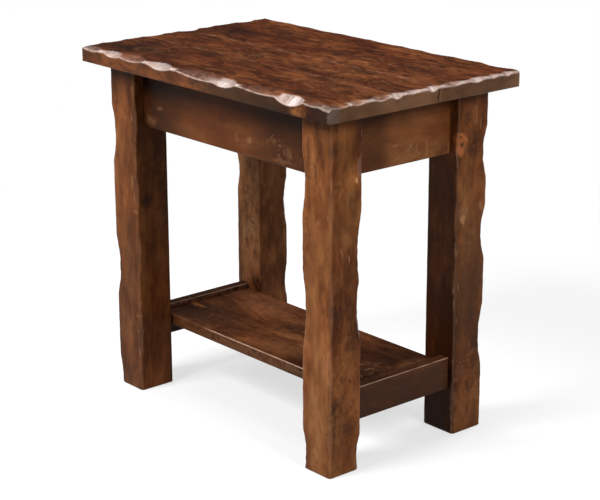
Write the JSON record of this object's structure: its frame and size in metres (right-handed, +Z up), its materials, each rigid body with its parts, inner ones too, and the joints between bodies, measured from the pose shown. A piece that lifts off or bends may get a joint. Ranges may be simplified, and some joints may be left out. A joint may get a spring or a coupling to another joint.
{
  "type": "side table",
  "caption": "Rustic rectangular side table with a hewn-edge plank top, square legs with hewn corners, aprons and a low shelf.",
  "frame": {"origin": "on the floor, under the middle of the top", "axes": "+X along the table's length, +Y from its front to its back, +Z up"},
  "size_m": [0.635, 0.405, 0.61],
  "materials": {
    "top_wood": "dark walnut-brown stain under satin varnish, hewn edge worn lighter",
    "leg_wood": "dark walnut-brown stain under satin varnish, hewn arrises",
    "apron_wood": "dark walnut-brown stain under satin varnish",
    "shelf_wood": "dark walnut-brown stain under satin varnish",
    "bare_wood": "planed hardwood, unstained",
    "screw_steel": "zinc plated"
  },
  "bodies": {
    "root": {"top_board_front": "top_wood", "top_board_mid_front": "top_wood", "top_board_mid_back": "top_wood", "top_board_back": "top_wood", "leg_front_left": "leg_wood", "leg_front_right": "leg_wood", "leg_back_right": "leg_wood", "leg_back_left": "leg_wood", "apron_front": "apron_wood", "apron_back": "apron_wood", "apron_left": "apron_wood", "apron_right": "apron_wood", "stretcher_left": "shelf_wood", "stretcher_right": "shelf_wood", "shelf_board": "shelf_wood", "shelf_dowels": "bare_wood", "corner_blocks": "bare_wood", "top_buttons": "bare_wood", "corner_block_screws": "screw_steel", "top_button_screws": "screw_steel"}
  },
  "joints": []
}
